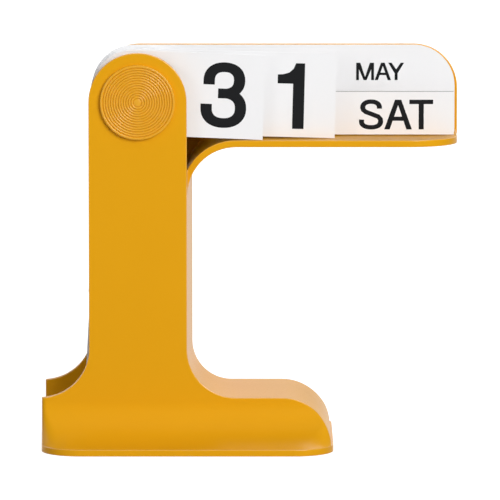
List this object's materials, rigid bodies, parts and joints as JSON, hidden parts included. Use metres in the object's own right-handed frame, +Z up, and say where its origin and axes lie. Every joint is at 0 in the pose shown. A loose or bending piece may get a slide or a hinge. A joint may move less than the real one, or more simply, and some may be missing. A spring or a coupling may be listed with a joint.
{
  "type": "perpetual desk calendar",
  "caption": "Desk calendar with flat number and word cards that hang inside a hollow upright and turn on a pin to lie along a side arm over a flared foot.",
  "frame": {"origin": "middle of the rectangle that the calendar covers on the desk, at desk height", "axes": "+X along the arm to its free end, +Y from the front plate to the rear plate, +Z up"},
  "size_m": [0.1712, 0.091, 0.1634],
  "materials": {
    "orange_plastic": "gloss",
    "white_card": "satin",
    "pin_steel": "satin",
    "dark_plastic": "satin"
  },
  "bodies": {
    "body": {"body_shell": "orange_plastic", "pivot_pin": "pin_steel", "front_cap": "orange_plastic", "rear_cap": "orange_plastic", "front_spacer": "dark_plastic", "group_washer_1": "dark_plastic", "group_washer_2": "dark_plastic", "group_washer_3": "dark_plastic", "rear_spacer": "dark_plastic"},
    "tens_3_body": {"tens_3": "white_card"},
    "tens_2_body": {"tens_2": "white_card"},
    "tens_1_body": {"tens_1": "white_card"},
    "tens_0_body": {"tens_0": "white_card"},
    "units_0_body": {"units_0": "white_card"},
    "units_1_body": {"units_1": "white_card"},
    "units_2_body": {"units_2": "white_card"},
    "units_3_body": {"units_3": "white_card"},
    "units_4_body": {"units_4": "white_card"},
    "units_5_body": {"units_5": "white_card"},
    "units_6_body": {"units_6": "white_card"},
    "units_7_body": {"units_7": "white_card"},
    "units_8_body": {"units_8": "white_card"},
    "units_9_body": {"units_9": "white_card"},
    "weekday_sun_body": {"weekday_sun": "white_card"},
    "weekday_sat_body": {"weekday_sat": "white_card"},
    "weekday_fri_body": {"weekday_fri": "white_card"},
    "weekday_thu_body": {"weekday_thu": "white_card"},
    "weekday_wed_body": {"weekday_wed": "white_card"},
    "weekday_tue_body": {"weekday_tue": "white_card"},
    "weekday_mon_body": {"weekday_mon": "white_card"},
    "month_jan_body": {"month_jan": "white_card"},
    "month_feb_body": {"month_feb": "white_card"},
    "month_mar_body": {"month_mar": "white_card"},
    "month_apr_body": {"month_apr": "white_card"},
    "month_may_body": {"month_may": "white_card"},
    "month_jun_body": {"month_jun": "white_card"},
    "month_jul_body": {"month_jul": "white_card"},
    "month_aug_body": {"month_aug": "white_card"},
    "month_sep_body": {"month_sep": "white_card"},
    "month_oct_body": {"month_oct": "white_card"},
    "month_nov_body": {"month_nov": "white_card"},
    "month_dec_body": {"month_dec": "white_card"}
  },
  "joints": [
    {"name": "tens_3_turn", "type": "hinge", "parent": "body", "child": "tens_3_body", "pos_m": [-0.04615, -0.0183, 0.1427], "axis": [0, -1, 0], "range_deg": [0, 267.2]},
    {"name": "tens_2_turn", "type": "hinge", "parent": "body", "child": "tens_2_body", "pos_m": [-0.04615, -0.0173, 0.1427], "axis": [0, -1, 0], "range_deg": [-267.2, 0]},
    {"name": "tens_1_turn", "type": "hinge", "parent": "body", "child": "tens_1_body", "pos_m": [-0.04615, -0.0163, 0.1427], "axis": [0, -1, 0], "range_deg": [-267.2, 0]},
    {"name": "tens_0_turn", "type": "hinge", "parent": "body", "child": "tens_0_body", "pos_m": [-0.04615, -0.0153, 0.1427], "axis": [0, -1, 0], "range_deg": [-267.2, 0]},
    {"name": "units_0_turn", "type": "hinge", "parent": "body", "child": "units_0_body", "pos_m": [-0.04615, -0.013, 0.1427], "axis": [0, -1, 0], "range_deg": [-266.8, 0]},
    {"name": "units_1_turn", "type": "hinge", "parent": "body", "child": "units_1_body", "pos_m": [-0.04615, -0.012, 0.1427], "axis": [0, -1, 0], "range_deg": [0, 266.8]},
    {"name": "units_2_turn", "type": "hinge", "parent": "body", "child": "units_2_body", "pos_m": [-0.04615, -0.011, 0.1427], "axis": [0, -1, 0], "range_deg": [-266.8, 0]},
    {"name": "units_3_turn", "type": "hinge", "parent": "body", "child": "units_3_body", "pos_m": [-0.04615, -0.01, 0.1427], "axis": [0, -1, 0], "range_deg": [-266.8, 0]},
    {"name": "units_4_turn", "type": "hinge", "parent": "body", "child": "units_4_body", "pos_m": [-0.04615, -0.009, 0.1427], "axis": [0, -1, 0], "range_deg": [-266.8, 0]},
    {"name": "units_5_turn", "type": "hinge", "parent": "body", "child": "units_5_body", "pos_m": [-0.04615, -0.008, 0.1427], "axis": [0, -1, 0], "range_deg": [-266.8, 0]},
    {"name": "units_6_turn", "type": "hinge", "parent": "body", "child": "units_6_body", "pos_m": [-0.04615, -0.007, 0.1427], "axis": [0, -1, 0], "range_deg": [-266.8, 0]},
    {"name": "units_7_turn", "type": "hinge", "parent": "body", "child": "units_7_body", "pos_m": [-0.04615, -0.006, 0.1427], "axis": [0, -1, 0], "range_deg": [-266.8, 0]},
    {"name": "units_8_turn", "type": "hinge", "parent": "body", "child": "units_8_body", "pos_m": [-0.04615, -0.005, 0.1427], "axis": [0, -1, 0], "range_deg": [-266.8, 0]},
    {"name": "units_9_turn", "type": "hinge", "parent": "body", "child": "units_9_body", "pos_m": [-0.04615, -0.004, 0.1427], "axis": [0, -1, 0], "range_deg": [-266.8, 0]},
    {"name": "weekday_sun_turn", "type": "hinge", "parent": "body", "child": "weekday_sun_body", "pos_m": [-0.04615, -0.0017, 0.1427], "axis": [0, -1, 0], "range_deg": [-267.5, 0]},
    {"name": "weekday_sat_turn", "type": "hinge", "parent": "body", "child": "weekday_sat_body", "pos_m": [-0.04615, -0.0007, 0.1427], "axis": [0, -1, 0], "range_deg": [0, 267.5]},
    {"name": "weekday_fri_turn", "type": "hinge", "parent": "body", "child": "weekday_fri_body", "pos_m": [-0.04615, 0.0003, 0.1427], "axis": [0, -1, 0], "range_deg": [-267.5, 0]},
    {"name": "weekday_thu_turn", "type": "hinge", "parent": "body", "child": "weekday_thu_body", "pos_m": [-0.04615, 0.0013, 0.1427], "axis": [0, -1, 0], "range_deg": [-267.5, 0]},
    {"name": "weekday_wed_turn", "type": "hinge", "parent": "body", "child": "weekday_wed_body", "pos_m": [-0.04615, 0.0023, 0.1427], "axis": [0, -1, 0], "range_deg": [-267.5, 0]},
    {"name": "weekday_tue_turn", "type": "hinge", "parent": "body", "child": "weekday_tue_body", "pos_m": [-0.04615, 0.0033, 0.1427], "axis": [0, -1, 0], "range_deg": [-267.5, 0]},
    {"name": "weekday_mon_turn", "type": "hinge", "parent": "body", "child": "weekday_mon_body", "pos_m": [-0.04615, 0.0043, 0.1427], "axis": [0, -1, 0], "range_deg": [-267.5, 0]},
    {"name": "month_jan_turn", "type": "hinge", "parent": "body", "child": "month_jan_body", "pos_m": [-0.04615, 0.0066, 0.1427], "axis": [0, -1, 0], "range_deg": [-266.8, 0]},
    {"name": "month_feb_turn", "type": "hinge", "parent": "body", "child": "month_feb_body", "pos_m": [-0.04615, 0.0076, 0.1427], "axis": [0, -1, 0], "range_deg": [-266.8, 0]},
    {"name": "month_mar_turn", "type": "hinge", "parent": "body", "child": "month_mar_body", "pos_m": [-0.04615, 0.0086, 0.1427], "axis": [0, -1, 0], "range_deg": [-266.8, 0]},
    {"name": "month_apr_turn", "type": "hinge", "parent": "body", "child": "month_apr_body", "pos_m": [-0.04615, 0.0096, 0.1427], "axis": [0, -1, 0], "range_deg": [-266.8, 0]},
    {"name": "month_may_turn", "type": "hinge", "parent": "body", "child": "month_may_body", "pos_m": [-0.04615, 0.0106, 0.1427], "axis": [0, -1, 0], "range_deg": [0, 266.8]},
    {"name": "month_jun_turn", "type": "hinge", "parent": "body", "child": "month_jun_body", "pos_m": [-0.04615, 0.0116, 0.1427], "axis": [0, -1, 0], "range_deg": [-266.8, 0]},
    {"name": "month_jul_turn", "type": "hinge", "parent": "body", "child": "month_jul_body", "pos_m": [-0.04615, 0.0126, 0.1427], "axis": [0, -1, 0], "range_deg": [-266.8, 0]},
    {"name": "month_aug_turn", "type": "hinge", "parent": "body", "child": "month_aug_body", "pos_m": [-0.04615, 0.0136, 0.1427], "axis": [0, -1, 0], "range_deg": [-266.8, 0]},
    {"name": "month_sep_turn", "type": "hinge", "parent": "body", "child": "month_sep_body", "pos_m": [-0.04615, 0.0146, 0.1427], "axis": [0, -1, 0], "range_deg": [-266.8, 0]},
    {"name": "month_oct_turn", "type": "hinge", "parent": "body", "child": "month_oct_body", "pos_m": [-0.04615, 0.0156, 0.1427], "axis": [0, -1, 0], "range_deg": [-266.8, 0]},
    {"name": "month_nov_turn", "type": "hinge", "parent": "body", "child": "month_nov_body", "pos_m": [-0.04615, 0.0166, 0.1427], "axis": [0, -1, 0], "range_deg": [-266.8, 0]},
    {"name": "month_dec_turn", "type": "hinge", "parent": "body", "child": "month_dec_body", "pos_m": [-0.04615, 0.0176, 0.1427], "axis": [0, -1, 0], "range_deg": [-266.8, 0]}
  ]
}
